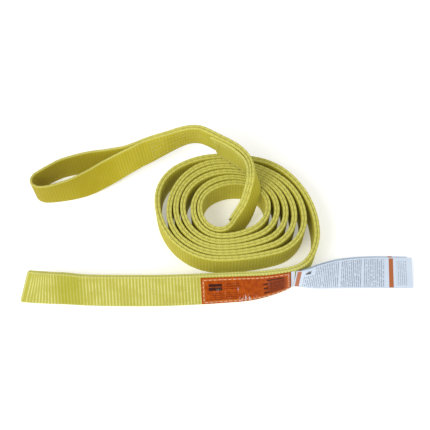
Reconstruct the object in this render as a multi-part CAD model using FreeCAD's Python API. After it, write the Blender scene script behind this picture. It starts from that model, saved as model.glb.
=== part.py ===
import FreeCAD, Part
import math
import os

os.makedirs("parts", exist_ok=True)

# Flat two-ply eye-and-eye web sling, coiled on edge, millimetres, +Z up.
# One webbing length makes both plies and both eyes; it is cut into nodes
# only where the fabric flexes as a joint.

# ---- driving dimensions -------------------------------------------------
WEB = 50.8            # webbing width, two inches
PLY = 4.0             # thickness of one ply
FILM = 0.2            # air between two plies lying on each other
PAIR = 2 * PLY + FILM
FLEX = 2.4            # bare gap left in the fabric at a flexing line
EYE_FLEX = 4.1        # the same in the open eye's leaning legs, whose edges close up as they bend
THROAT_ROOM = 0.6     # extra room beside the throat of the open eye, near leg
FAR_THROAT_ROOM = 1.8 # and far leg
STEP = 9.0            # spacing of the cross-sections along a leaning strap
ORIGIN_X = 3.68       # plan point of the layout that becomes the origin
ORIGIN_Y = -8.44

LABEL_T = 0.8         # label cloth
GLAZE_T = 0.3         # clear film over the label
LABEL_LOW = 1.5       # label edge above the lower selvedge
LABEL_HIGH = 47.5     # label edge below the upper selvedge
LABEL_LENGTH = 15 * STEP
LEAF_T = 0.5          # one leaf of the tag
LEAF_WIDTH = 46.0
STITCH_LENGTH = 3.4
STITCH_WIDTH = 0.9
STITCH_T = 0.4
STITCH_AIR = 0.15     # a stitch's clearance over the face it stands for

# ---- routes: plan x, plan y, heading, height, lean to the left hand -------
# The flat eye and the label strap, running toward the coil.
TAIL = [
    (-289, -131.5, -6, 0, 44),
    (-242, -134.5, -2, 0, 41),
    (-197, -136.5, -2, 0, 37),
    (-105, -138, 0, 0, 38),
    (36, -130.5, 5, 0, 33),
    (92, -116, 22, 0, 18),
    (137, -82, 54, 0, 0),
]
# The coil, six rounds from the outside in, by its four extreme points.
RIGHT_X = [152.0, 133.8, 119.4, 106.6, 93.6, 80.4]
RIGHT_Y = [-36, -15, -10, -5, 0, 5]
BACK_X = [8, 11, 15, 20, 26, 31]
BACK_Y = [91.0, 82.2, 73.2, 63.5, 53.7, 44.1]
LEFT_X = [-87.6, -69.2, -59.0, -48.6, -32.6, -23.0]
LEFT_Y = [17, -3, 2, 4, 0, 1]
FRONT_X = [7, 10, 10, 10, 10, 8]
FRONT_Y = [-82.2, -73.2, -64.2, -55.1, -45.6, -35.3]
SHOULDER = (112.5, 59.5, 135, 0, 0)      # the loose outer round bulges here
ROUND = 360
TURNS = len(RIGHT_X)
LAST = ROUND * TURNS
# The free end, rising out of the hole and over the back of the coil.
RISER = [
    (38, -21, LAST + 50, 3, 10),
    (58, 6, LAST + 66, 27, 12),
    (66, 30, LAST + 90, 51.6, 14),
    (58, 56, LAST + 122, 53, 9),
    (36, 77, LAST + 140, 54, 3),
    (-3, 106, LAST + 145, 51.5, 6),
]
FREE_END = [
    (-30, 120, LAST + 170, 45, 6),
    (-64, 114, LAST + 203, 35, 0),
    (-112, 91, LAST + 208, 22, -15),
]
# The open eye, one ply: along the near leg, round the tip, back along the far leg.
NEAR_LEG = [
    (-112, 88.6, 208, 22, -15),
    (-166, 62, 206, 7, -21),
    (-195, 48.5, 202, 1.5, -18),
    (-230, 39, 190, 0, -8),
    (-266, 35, 180, 0, -1),
]
TIP_BOW = [
    (-283, 49, 85, 0, 0),
]
FAR_LEG = [
    (-265, 69, 35, 0, 0),
    (-235, 83, 14, 0, 4),
    (-183, 88, -2, 5, 11),
    (-112, 93.8, 28, 22, 15),
]
# The tag's two leaves, from the seam outward; they sag flat toward the free end.
FRONT_LEAF = [
    (150, -110.8, -2, 1.5, 26),
    (195, -110.8, 0, 1.9, 48),
    (297, -111, 0, 2.1, 75),
]
BACK_LEAF = [
    (150, -109.4, -1, 1.1, 27),
    (195, -108.8, 1, 0.8, 50),
    (291, -108, 0, 0.6, 77),
]


def biarc(start, end):
    """Two tangent arcs between two headed plan points."""
    a0 = math.radians(start[2])
    a1 = math.radians(end[2])
    t0 = (math.cos(a0), math.sin(a0))
    t1 = (math.cos(a1), math.sin(a1))
    v = (end[0] - start[0], end[1] - start[1])
    t = (t0[0] + t1[0], t0[1] + t1[1])
    a = 2 * (1 - t0[0] * t1[0] - t0[1] * t1[1])
    b = 2 * (v[0] * t[0] + v[1] * t[1])
    c = -(v[0] ** 2 + v[1] ** 2)
    reach = -c / b if a < 1e-9 else (-b + math.sqrt(b * b - 4 * a * c)) / (2 * a)
    c0 = (start[0] + t0[0] * reach, start[1] + t0[1] * reach)
    c1 = (end[0] - t1[0] * reach, end[1] - t1[1] * reach)
    mid = ((c0[0] + c1[0]) / 2, (c0[1] + c1[1]) / 2)
    mid_heading = math.atan2(c1[1] - c0[1], c1[0] - c0[0])
    return [arc(start[:2], a0, mid), arc(mid, mid_heading, end[:2])]


def arc(start, heading, end):
    """One arc as x, y, heading, curvature and length."""
    dx = end[0] - start[0]
    dy = end[1] - start[1]
    chord = math.hypot(dx, dy)
    across = math.cos(heading) * dy - math.sin(heading) * dx
    half = math.asin(max(-1.0, min(1.0, across / chord)))
    if abs(half) < 1e-7:
        return (start[0], start[1], heading, 0.0, chord)
    radius = chord / (2 * math.sin(half))
    return (start[0], start[1], heading, 1 / radius, abs(2 * half * radius))


class Route:
    """A strap's path: arcs in plan, with height and lean eased between stations."""

    def __init__(self, stations):
        self.stations = stations
        self.arcs = []
        self.breaks = [0.0]
        self.marks = [0.0]
        for start, end in zip(stations[:-1], stations[1:]):
            for piece in biarc(start, end):
                self.arcs.append(piece)
                self.breaks.append(self.breaks[-1] + piece[4])
            self.marks.append(self.breaks[-1])
        self.length = self.breaks[-1]

    def plan(self, s):
        index = 0
        while index < len(self.arcs) - 1 and s > self.breaks[index + 1]:
            index += 1
        x, y, heading, curve, _ = self.arcs[index]
        run = s - self.breaks[index]
        if curve == 0.0:
            return x + run * math.cos(heading), y + run * math.sin(heading), heading
        turned = heading + curve * run
        x += (math.sin(turned) - math.sin(heading)) / curve
        y -= (math.cos(turned) - math.cos(heading)) / curve
        return x, y, turned

    def ease(self, s, column):
        """Monotone cubic through the stations' values in one column."""
        marks = self.marks
        values = [station[column] for station in self.stations]
        spans = [b - a for a, b in zip(marks[:-1], marks[1:])]
        rises = [(b - a) / h for a, b, h in zip(values[:-1], values[1:], spans)]
        slopes = [0.0]
        for i in range(1, len(marks) - 1):
            before = rises[i - 1]
            after = rises[i]
            if before * after <= 0:
                slopes.append(0.0)
            else:
                w1 = 2 * spans[i] + spans[i - 1]
                w2 = spans[i] + 2 * spans[i - 1]
                slopes.append((w1 + w2) / (w1 / before + w2 / after))
        slopes.append(0.0)
        i = 0
        while i < len(spans) - 1 and s > marks[i + 1]:
            i += 1
        h = spans[i]
        t = (s - marks[i]) / h
        return ((2 * t ** 3 - 3 * t ** 2 + 1) * values[i]
                + (t ** 3 - 2 * t ** 2 + t) * h * slopes[i]
                + (3 * t ** 2 - 2 * t ** 3) * values[i + 1]
                + (t ** 3 - t ** 2) * h * slopes[i + 1])

    def frame(self, s, body):
        """Foot point, travel, width and left-hand directions at s."""
        x, y, heading = self.plan(s)
        lean = math.radians(self.ease(s, 4))
        left = FreeCAD.Vector(-math.sin(heading), math.cos(heading), 0)
        up = FreeCAD.Vector(0, 0, 1)
        travel = FreeCAD.Vector(math.cos(heading), math.sin(heading), 0)
        width = left * math.sin(lean) + up * math.cos(lean)
        face = left * math.cos(lean) - up * math.sin(lean)
        foot_z = self.ease(s, 3) + body / 2 * abs(math.sin(lean))
        foot = FreeCAD.Vector(x - ORIGIN_X, y - ORIGIN_Y, foot_z)
        return foot, travel, width, face


def section(route, s, right, left, body, low=0.0, high=WEB, skew=0.0):
    """Closed cross-section between two offsets from the middle of the strap."""
    foot, travel, width, face = route.frame(s, body)
    corners = []
    for side, level in ((right, low), (left, low), (left, high), (right, high)):
        slip = travel * (skew * level / WEB)
        corners.append(foot + face * side + width * level + slip)
    corners.append(corners[0])
    return Part.makePolygon(corners)


def twisted_strap(route, s0, s1, right, left, body, low=0.0, high=WEB, skew=None, step=STEP):
    """A strap through eased sections, for stretches that lean or climb.

    The sections fall on whole steps of the route, so layers lying on each
    other bend at the same places.
    """
    stops = [s0]
    for i in range(int(s0 / step) + 1, int(s1 / step) + 1):
        if s0 + 1.0 < i * step < s1 - 1.0:
            stops.append(i * step)
    stops.append(s1)
    wires = []
    for s in stops:
        slip = skew(s) if skew else 0.0
        wires.append(section(route, s, right, left, body, low, high, slip))
    return Part.makeLoft(wires, True, True)


def snap(s):
    return STEP * round(s / STEP)


def upright_strap(route, s0, s1, right, left):
    """A strap standing square on the floor, its sides true arcs."""
    stops = [s0] + [b for b in route.breaks if s0 + 0.01 < b < s1 - 0.01] + [s1]

    def point(s, side):
        x, y, heading = route.plan(s)
        x -= side * math.sin(heading) + ORIGIN_X
        y += side * math.cos(heading) - ORIGIN_Y
        return FreeCAD.Vector(x, y, 0)

    edges = []
    for side, order in ((right, stops), (left, stops[::-1])):
        for a, b in zip(order[:-1], order[1:]):
            edges.append(Part.Arc(point(a, side), point((a + b) / 2, side), point(b, side)).toShape())
    edges.append(Part.makeLine(point(s1, right), point(s1, left)))
    edges.append(Part.makeLine(point(s0, left), point(s0, right)))
    wire = Part.Wire(Part.__sortEdges__(edges))
    return Part.Face(wire).extrude(FreeCAD.Vector(0, 0, WEB))


def on_face(route, s, side, level, body):
    """A point on a strap's face and the directions there, straight between whole steps."""
    before = STEP * int(s / STEP)
    share = (s - before) / STEP
    ends = []
    for stop in (before, before + STEP):
        foot, travel, width, face = route.frame(stop, body)
        ends.append((foot + face * side + width * level, width))
    spot = ends[0][0] * (1 - share) + ends[1][0] * share
    travel = (ends[1][0] - ends[0][0]).normalize()
    width = (ends[0][1] * (1 - share) + ends[1][1] * share).normalize()
    return spot, travel, width, width.cross(travel).normalize()


def stitch(route, s, side, level, body, along, across):
    """One stitch lying on a face; side carries the sign of the face it lies on."""
    spot, travel, width, face = on_face(route, s, side, level, body)
    out = face if side > 0 else face * -1
    base = spot + out * STITCH_AIR - width * (across / 2) - travel * (along / 2)
    corner = [base, base + travel * along, base + travel * along + width * across, base + width * across]
    pad = Part.Face(Part.makePolygon(corner + [corner[0]]))
    return pad.extrude(out * STITCH_T)


def stitch_run(route, s0, s1, side, level, body):
    """Two stitches in each whole step of the route between s0 and s1."""
    bars = []
    for i in range(int(s0 / STEP) + 1, int(s1 / STEP)):
        for share in (0.25, 0.75):
            bars.append(stitch(route, (i + share) * STEP, side, level, body, STITCH_LENGTH, STITCH_WIDTH))
    return bars


def stitch_column(route, s, side, low, high, body, pitch=6.0):
    count = int((high - low) / pitch)
    bars = []
    for i in range(count):
        level = low + (i + 0.5) * (high - low) / count
        bars.append(stitch(route, s, side, level, body, STITCH_WIDTH, STITCH_LENGTH))
    return bars


def save(name, shape):
    shape.exportStep("parts/" + name + ".step")


# ---- main route: flat eye tip to the throat of the open eye ---------------
coil = []
for turn in range(TURNS):
    base = ROUND * turn
    coil.append((RIGHT_X[turn], RIGHT_Y[turn], base + 90, 0, 0))
    if turn == 0:
        coil.append(SHOULDER)
    coil.append((BACK_X[turn], BACK_Y[turn], base + 180, 0, 0))
    coil.append((LEFT_X[turn], LEFT_Y[turn], base + 270, 0, 0))
    coil.append((FRONT_X[turn], FRONT_Y[turn], base + 360, 0, 0))
main = Route(TAIL + coil + RISER + FREE_END)
FOLD = main.marks[0]
FLAT_MID = main.marks[2]
FLAT_THROAT = main.marks[3]
TAIL_HINGE = main.marks[len(TAIL) - 1]
COIL_END = main.marks[len(TAIL) + len(coil) - 1]
END_HINGE = main.marks[len(TAIL) + len(coil) + len(RISER) - 1]
THROAT = main.length

OUTER = (-PAIR / 2, -FILM / 2)     # ply on the right hand, away from the coil's centre
INNER = (FILM / 2, PAIR / 2)       # ply on the left hand
gap = FLEX / 2

# ---- coil and free-end riser ---------------------------------------------
RISER_TOP = END_HINGE - gap
for name, (right, left) in (("coil_outer_ply", OUTER), ("coil_inner_ply", INNER)):
    flat = upright_strap(main, TAIL_HINGE + gap, COIL_END, right, left)
    climb = twisted_strap(main, COIL_END, RISER_TOP, right, left, PAIR)
    save(name, flat.fuse(climb).removeSplitter())

OVERLAP_START = snap(COIL_END + 20.0)
overlap_right = PAIR / 2 + FILM
overlap_left = overlap_right + PLY
save("splice_overlap_ply",
     twisted_strap(main, OVERLAP_START, RISER_TOP, overlap_right, overlap_left, PAIR))
rows = []
for level in (6.0, WEB - 6.0):
    rows += stitch_run(main, OVERLAP_START + 6, RISER_TOP - 6, overlap_left, level, PAIR)
rows += stitch_column(main, RISER_TOP - 4.5, overlap_left, 8.0, WEB - 8.0, PAIR)
save("splice_stitching", Part.makeCompound(rows))

# ---- free end between the coil and the open eye ---------------------------
for name, (right, left) in (("free_end_far_ply", OUTER), ("free_end_near_ply", INNER)):
    save(name, twisted_strap(main, END_HINGE + gap, THROAT - gap, right, left, PAIR))
rows = []
for level in (6.0, WEB - 6.0):
    rows += stitch_run(main, END_HINGE + 6, THROAT - 12, PAIR / 2, level, PAIR)
for back in (5.0, 9.0):
    rows += stitch_column(main, THROAT - back, PAIR / 2, 5.0, WEB - 5.0, PAIR)
save("free_end_stitching", Part.makeCompound(rows))

# ---- open eye --------------------------------------------------------------
eye = Route(NEAR_LEG + TIP_BOW + FAR_LEG)
half = PLY / 2
EYE_NEAR_MID = eye.marks[2]
EYE_BOW_START = eye.marks[4]
EYE_BOW_END = eye.marks[6]
EYE_FAR_MID = eye.marks[8]
bend = EYE_FLEX / 2
spans = (
    ("eye_near_root", gap + THROAT_ROOM, EYE_NEAR_MID - bend, STEP),
    ("eye_near_tip", EYE_NEAR_MID + bend, EYE_BOW_START - gap, STEP),
    ("eye_tip_bow", EYE_BOW_START + gap, EYE_BOW_END - gap, STEP / 2),
    ("eye_far_tip", EYE_BOW_END + gap, EYE_FAR_MID - bend, STEP),
    ("eye_far_root", EYE_FAR_MID + bend, eye.length - gap - FAR_THROAT_ROOM, STEP),
)
for name, s0, s1, step in spans:
    save(name, twisted_strap(eye, s0, s1, -half, half, PLY, step=step))

# ---- label strap -------------------------------------------------------------
for name, (right, left) in (("tail_outer_ply", OUTER), ("tail_inner_ply", INNER)):
    save(name, twisted_strap(main, FLAT_THROAT + gap, TAIL_HINGE - gap, right, left, PAIR))
LABEL_END = snap(TAIL_HINGE - 34.0)
LABEL_START = LABEL_END - LABEL_LENGTH
face_out = -PAIR / 2 - 0.05
label_out = face_out - LABEL_T
glaze_in = label_out - 0.05
glaze_out = glaze_in - GLAZE_T
save("label_cloth",
     twisted_strap(main, LABEL_START, LABEL_END, label_out, face_out, PAIR, LABEL_LOW, LABEL_HIGH))
save("label_clear_film",
     twisted_strap(main, LABEL_START + STEP / 2, LABEL_END - STEP / 2, glaze_out, glaze_in, PAIR,
                   LABEL_LOW + STEP / 2, LABEL_HIGH - STEP / 2))
rows = []
for level in (LABEL_LOW + 2.2, LABEL_HIGH - 2.2):
    rows += stitch_run(main, LABEL_START + 4, LABEL_END - 4, label_out, level, PAIR)
for s in (LABEL_START + 2.2, LABEL_END - 2.2):
    rows += stitch_column(main, s, label_out, LABEL_LOW + 5, LABEL_HIGH - 5, PAIR)
save("label_stitching", Part.makeCompound(rows))

# ---- two-leaf tag sewn in at the coil end of the label -------------------------
TAB_START = LABEL_END + 1.0
TAB_END = LABEL_END + 5.0
tab_out = face_out - 2 * LEAF_T - 0.1
save("tag_sewn_tab",
     twisted_strap(main, TAB_START, TAB_END, tab_out, face_out, PAIR, LABEL_LOW, LABEL_HIGH))
save("tag_stitching",
     Part.makeCompound(stitch_column(main, TAB_START + 2.0, tab_out, LABEL_LOW + 3, LABEL_HIGH - 3, PAIR)))
tab_foot, tab_travel, tab_width, tab_face = main.frame(TAB_END, PAIR)
start = tab_foot + tab_face * (tab_out + LEAF_T)
LEAF_HEADING = -4     # the tag springs off the strap instead of following it
start_station = (start.x + ORIGIN_X, start.y + ORIGIN_Y, LEAF_HEADING, 1.5, main.ease(TAB_END, 4))
front_leaf = Route([start_station] + FRONT_LEAF)
back_leaf = Route([start_station] + BACK_LEAF)
for name, leaf, side in (("tag_front_leaf", front_leaf, -0.5), ("tag_back_leaf", back_leaf, 0.4)):
    save(name, twisted_strap(leaf, 3.0, leaf.length, side - LEAF_T / 2, side + LEAF_T / 2,
                             LEAF_T, 0.0, LEAF_WIDTH))

# ---- flat eye, folded shut -------------------------------------------------------
TIP_SKEW = 13.0       # the fold runs slantwise, its top edge this far inboard
SKEW_REACH = 60.0
FOLD_ROOM = 8.0
FLAT_FAR_MID = FOLD_ROOM + FLAT_THROAT - FLAT_MID      # opposite sides of the opening eye are equal


def tip_skew(s):
    t = max(0.0, 1 - s / SKEW_REACH)
    return TIP_SKEW * t * t * (3 - 2 * t)


EYE_AIR = 0.3         # half the air between the two closed legs
near_side = (-EYE_AIR - PLY, -EYE_AIR)
far_side = (EYE_AIR, EYE_AIR + PLY)
body = 2 * (PLY + EYE_AIR)
legs = (
    ("flat_eye_near_root", near_side, FLAT_MID + gap, FLAT_THROAT - gap),
    ("flat_eye_near_tip", near_side, FOLD_ROOM, FLAT_MID - gap),
    ("flat_eye_far_tip", far_side, FOLD_ROOM + FLEX, FLAT_FAR_MID - gap),
    ("flat_eye_far_root", far_side, FLAT_FAR_MID + gap, FLAT_THROAT - gap),
)
for name, (right, left), s0, s1 in legs:
    save(name, twisted_strap(main, s0, s1, right, left, body, 0.0, WEB, tip_skew))


def fold_outline(level):
    """The tip fold across one level of the web: two legs joined by a half round."""
    foot, travel, width, face = main.frame(FOLD_ROOM, body)
    outer_r = PLY + EYE_AIR
    inner_r = EYE_AIR
    middle = foot + width * level + travel * (tip_skew(FOLD_ROOM) * level / WEB)
    turn = middle - travel * (FOLD_ROOM - outer_r)
    near = face * -1
    edges = [
        Part.makeLine(middle + near * outer_r, turn + near * outer_r),
        Part.Arc(turn + near * outer_r, turn - travel * outer_r, turn + face * outer_r).toShape(),
        Part.makeLine(turn + face * outer_r, middle + face * outer_r),
        Part.makeLine(middle + face * outer_r, middle + face * inner_r),
        Part.makeLine(middle + face * inner_r, turn + face * inner_r),
        Part.Arc(turn + face * inner_r, turn - travel * inner_r, turn + near * inner_r).toShape(),
        Part.makeLine(turn + near * inner_r, middle + near * inner_r),
        Part.makeLine(middle + near * inner_r, middle + near * outer_r),
    ]
    return Part.Wire(edges)


save("flat_eye_fold", Part.makeLoft([fold_outline(0.0), fold_outline(WEB)], True, True))
rows = []
for ahead in (5.0, 9.0):
    rows += stitch_column(main, FLAT_THROAT + ahead, -PAIR / 2, 5.0, WEB - 5.0, PAIR)
for level in (6.0, WEB - 6.0):
    rows += stitch_run(main, FLAT_THROAT + 12, LABEL_START - 4, -PAIR / 2, level, PAIR)
save("flat_eye_stitching", Part.makeCompound(rows))
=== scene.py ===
import math
import random

import bpy
import numpy as np
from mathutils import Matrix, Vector


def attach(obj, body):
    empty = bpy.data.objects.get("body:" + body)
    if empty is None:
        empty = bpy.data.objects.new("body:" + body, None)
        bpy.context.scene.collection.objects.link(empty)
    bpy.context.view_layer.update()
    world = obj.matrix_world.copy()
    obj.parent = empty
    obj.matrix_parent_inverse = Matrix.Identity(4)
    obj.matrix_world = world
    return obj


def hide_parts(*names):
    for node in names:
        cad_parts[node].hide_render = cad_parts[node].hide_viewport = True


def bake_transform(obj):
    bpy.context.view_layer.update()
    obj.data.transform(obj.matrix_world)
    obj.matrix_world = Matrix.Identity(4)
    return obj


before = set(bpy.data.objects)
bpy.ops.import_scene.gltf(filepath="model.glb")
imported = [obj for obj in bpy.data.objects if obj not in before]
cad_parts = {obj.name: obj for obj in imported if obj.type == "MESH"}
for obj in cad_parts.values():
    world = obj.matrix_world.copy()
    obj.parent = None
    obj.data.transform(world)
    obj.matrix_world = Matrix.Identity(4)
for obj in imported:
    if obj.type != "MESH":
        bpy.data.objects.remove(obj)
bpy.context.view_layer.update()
random.seed(7)

# ---- sizes, in millimetres, the same as the model's -------------------------
WEB = 50.8
PLY = 4.0
FILM = 0.2
PAIR = 2 * PLY + FILM
STEP = 9.0
ORIGIN = (3.68, -8.44)
LABEL_LOW = 1.5
LABEL_HIGH = 47.5
LABEL_LENGTH = 15 * STEP
LEAF_T = 0.5
LEAF_WIDTH = 46.0
EYE_AIR = 0.4         # more air between the flat eye's legs than between sewn plies
FOLD_ROOM = 8.0       # from the flat eye's tip to where its legs start
FOLD_RADIUS = 2.3     # middle of the ply round the fold
FAR_TIP = FOLD_ROOM + 0.6
TIP_SLANT = 13.0      # how far the top edge runs ahead of the lower edge at the fold
SLANT_REACH = 60.0    # and how far along the legs that dies out
BEND = 12.0           # how far the fabric's bending reaches each side of a flexing line

RIB = 4.8             # spacing of the webbing's crosswise ribs
RIB_HEIGHT = 0.18     # how far a rib stands out of the face
WORN_RIB = 0.10       # the same on the open eye
SOFT_RIB = 0.12       # and on the free end and the overlap ply
HALF = 1.93           # half the thickness of a ply between its ribs
SELVEDGE = 2.1        # how far the rounding of an edge reaches into the width
MM = 0.001

TAIL = [
    (-289, -131.5, -6, 0, 44),
    (-242, -134.5, -2, 0, 41),
    (-197, -136.5, -2, 0, 37),
    (-105, -138, 0, 0, 38),
    (36, -130.5, 5, 0, 33),
    (92, -116, 22, 0, 18),
    (137, -82, 54, 0, 0),
]
RIGHT_X = [152.0, 133.8, 119.4, 106.6, 93.6, 80.4]
RIGHT_Y = [-36, -15, -10, -5, 0, 5]
BACK_X = [8, 11, 15, 20, 26, 31]
BACK_Y = [91.0, 82.2, 73.2, 63.5, 53.7, 44.1]
LEFT_X = [-87.6, -69.2, -59.0, -48.6, -32.6, -23.0]
LEFT_Y = [17, -3, 2, 4, 0, 1]
FRONT_X = [7, 10, 10, 10, 10, 8]
FRONT_Y = [-82.2, -73.2, -64.2, -55.1, -45.6, -35.3]
SHOULDER = (112.5, 59.5, 135, 0, 0)
LAST = 360 * len(RIGHT_X)
RISER = [
    (38, -21, LAST + 50, 3, 10),
    (58, 6, LAST + 66, 27, 12),
    (66, 30, LAST + 90, 51.6, 14),
    (58, 56, LAST + 122, 53, 9),
    (36, 77, LAST + 140, 54, 3),
    (-3, 106, LAST + 145, 51.5, 6),
]
FREE_END = [
    (-30, 120, LAST + 170, 45, 6),
    (-64, 114, LAST + 203, 35, 0),
    (-112, 91, LAST + 208, 22, -15),
]
NEAR_LEG = [
    (-112, 88.6, 208, 22, -15),
    (-166, 62, 206, 7, -21),
    (-195, 48.5, 202, 1.5, -18),
    (-230, 39, 190, 0, -8),
    (-266, 35, 180, 0, -1),
]
TIP_BOW = [
    (-283, 49, 85, 0, 0),
]
FAR_LEG = [
    (-265, 69, 35, 0, 0),
    (-235, 83, 14, 0, 4),
    (-183, 88, -2, 5, 11),
    (-112, 93.8, 28, 22, 15),
]
FRONT_LEAF = [
    (150, -110.8, -2, 1.5, 26),
    (195, -110.8, 0, 1.9, 48),
    (297, -111, 0, 2.1, 75),
]
BACK_LEAF = [
    (150, -109.4, -1, 1.1, 27),
    (195, -108.8, 1, 0.8, 50),
    (291, -108, 0, 0.6, 77),
]
LEAF_HEADING = -4


def arc(start, heading, end):
    """The arc that leaves start on a heading and ends at end: x, y, heading, curvature, length."""
    dx = end[0] - start[0]
    dy = end[1] - start[1]
    chord = math.hypot(dx, dy)
    across = math.cos(heading) * dy - math.sin(heading) * dx
    half = math.asin(max(-1.0, min(1.0, across / chord)))
    if abs(half) < 1e-7:
        return (start[0], start[1], heading, 0.0, chord)
    radius = chord / (2 * math.sin(half))
    return (start[0], start[1], heading, 1 / radius, abs(2 * half * radius))


def biarc(start, end):
    """Two tangent arcs between two headed plan points."""
    a0 = math.radians(start[2])
    a1 = math.radians(end[2])
    t0 = (math.cos(a0), math.sin(a0))
    t1 = (math.cos(a1), math.sin(a1))
    v = (end[0] - start[0], end[1] - start[1])
    t = (t0[0] + t1[0], t0[1] + t1[1])
    a = 2 * (1 - t0[0] * t1[0] - t0[1] * t1[1])
    b = 2 * (v[0] * t[0] + v[1] * t[1])
    c = -(v[0] ** 2 + v[1] ** 2)
    reach = -c / b if a < 1e-9 else (-b + math.sqrt(b * b - 4 * a * c)) / (2 * a)
    c0 = (start[0] + t0[0] * reach, start[1] + t0[1] * reach)
    c1 = (end[0] - t1[0] * reach, end[1] - t1[1] * reach)
    mid = ((c0[0] + c1[0]) / 2, (c0[1] + c1[1]) / 2)
    mid_heading = math.atan2(c1[1] - c0[1], c1[0] - c0[0])
    return [arc(start[:2], a0, mid), arc(mid, mid_heading, end[:2])]


class Route:
    """A strap's path: arcs in plan, with height and lean eased between stations."""

    def __init__(self, stations):
        self.stations = stations
        self.arcs = []
        self.breaks = [0.0]
        self.marks = [0.0]
        for start, end in zip(stations[:-1], stations[1:]):
            for piece in biarc(start, end):
                self.arcs.append(piece)
                self.breaks.append(self.breaks[-1] + piece[4])
            self.marks.append(self.breaks[-1])
        self.length = self.breaks[-1]
        self.slopes = {column: self.slopes_of(column) for column in (3, 4)}

    def slopes_of(self, column):
        """The slope at each station that keeps the cubics monotone."""
        values = [station[column] for station in self.stations]
        spans = [b - a for a, b in zip(self.marks[:-1], self.marks[1:])]
        rises = [(b - a) / h for a, b, h in zip(values[:-1], values[1:], spans)]
        slopes = [0.0]
        for i in range(1, len(values) - 1):
            before, after = rises[i - 1], rises[i]
            if before * after <= 0:
                slopes.append(0.0)
            else:
                w1 = 2 * spans[i] + spans[i - 1]
                w2 = spans[i] + 2 * spans[i - 1]
                slopes.append((w1 + w2) / (w1 / before + w2 / after))
        return slopes + [0.0]

    def plan(self, s):
        """Plan point and heading at s."""
        index = int(np.searchsorted(self.breaks, s, side="left")) - 1
        index = max(0, min(index, len(self.arcs) - 1))
        x, y, heading, curve, _ = self.arcs[index]
        run = s - self.breaks[index]
        if curve == 0.0:
            return x + run * math.cos(heading), y + run * math.sin(heading), heading
        turned = heading + curve * run
        x += (math.sin(turned) - math.sin(heading)) / curve
        y -= (math.cos(turned) - math.cos(heading)) / curve
        return x, y, turned

    def ease(self, s, column):
        """Monotone cubic through the stations' values in one column."""
        marks = self.marks
        slopes = self.slopes[column]
        i = int(np.searchsorted(marks, s, side="left")) - 1
        i = max(0, min(i, len(marks) - 2))
        h = marks[i + 1] - marks[i]
        t = (s - marks[i]) / h
        return ((2 * t ** 3 - 3 * t ** 2 + 1) * self.stations[i][column]
                + (t ** 3 - 2 * t ** 2 + t) * h * slopes[i]
                + (3 * t ** 2 - 2 * t ** 3) * self.stations[i + 1][column]
                + (t ** 3 - t ** 2) * h * slopes[i + 1])

    def frame(self, s, body):
        """Foot point, travel, width and left-hand directions at s."""
        x, y, heading = self.plan(s)
        lean = math.radians(self.ease(s, 4))
        left = np.array((-math.sin(heading), math.cos(heading), 0.0))
        up = np.array((0.0, 0.0, 1.0))
        travel = np.array((math.cos(heading), math.sin(heading), 0.0))
        width = left * math.sin(lean) + up * math.cos(lean)
        face = left * math.cos(lean) - up * math.sin(lean)
        foot_z = self.ease(s, 3) + body / 2 * abs(math.sin(lean))
        return np.array((x - ORIGIN[0], y - ORIGIN[1], foot_z)), travel, width, face


def smooth(t):
    """0 up to t = 0 and 1 from t = 1, eased in between."""
    t = max(0.0, min(1.0, t))
    return t * t * (3 - 2 * t)


coil = []
for turn in range(len(RIGHT_X)):
    base = 360 * turn
    coil.append((RIGHT_X[turn], RIGHT_Y[turn], base + 90, 0, 0))
    if turn == 0:
        coil.append(SHOULDER)
    coil.append((BACK_X[turn], BACK_Y[turn], base + 180, 0, 0))
    coil.append((LEFT_X[turn], LEFT_Y[turn], base + 270, 0, 0))
    coil.append((FRONT_X[turn], FRONT_Y[turn], base + 360, 0, 0))
main = Route(TAIL + coil + RISER + FREE_END)
eye = Route(NEAR_LEG + TIP_BOW + FAR_LEG)
FLAT_MID = main.marks[2]
FLAT_THROAT = main.marks[3]
FLAT_FAR_MID = FOLD_ROOM + FLAT_THROAT - FLAT_MID
TAIL_HINGE = main.marks[len(TAIL) - 1]
COIL_END = main.marks[len(TAIL) + len(coil) - 1]
END_HINGE = main.marks[len(TAIL) + len(coil) + len(RISER) - 1]
THROAT = main.length
EYE_NEAR_MID, EYE_BOW_START, EYE_BOW_END, EYE_FAR_MID = (eye.marks[i] for i in (2, 4, 6, 8))
EYE = eye.length

RIGHT_PLY = -(PLY + FILM) / 2      # middle of the ply on the right hand of the main route
LEFT_PLY = (PLY + FILM) / 2
NO_LEAD = np.zeros(3)


def groove(s):
    """The groove between two ribs nearest to s, where one piece can meet the next unseen."""
    return RIB * (round(s / RIB - 0.5) + 0.5)


def tip_skew(s):
    """How far the top edge runs ahead of the lower edge near the slanting fold."""
    return TIP_SLANT * smooth(1 - s / SLANT_REACH)


def on_main(s, side):
    """A place on the main route: run, lower edge, travel, width, face, and the top edge's lead."""
    shut = 1 - smooth((s - FLAT_THROAT + BEND) / (2 * BEND))
    foot, travel, width, face = main.frame(s, PAIR + EYE_AIR * shut)
    offset = side * (1 + EYE_AIR / 2 * shut / LEFT_PLY)
    return [s, foot + face * offset, travel, width, face, travel * tip_skew(s)]


def turned(place):
    """The same place seen by someone travelling the other way."""
    run, centre, travel, width, face, lead = place
    return [-run, centre, -travel, width, -face, lead]


throat_near = on_main(THROAT, LEFT_PLY)
throat_far = on_main(THROAT, RIGHT_PLY)
WHOLE = RIB * round((2 * THROAT + EYE) / RIB)     # there and back, in whole ribs
eye_pitch = (WHOLE - 2 * THROAT) / EYE
near_gap = throat_near[1] - eye.frame(0.0, PLY)[0]
far_gap = throat_far[1] - eye.frame(EYE, PLY)[0]
JOINING = 14.0        # how far from the throat the eye's own path takes over


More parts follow.
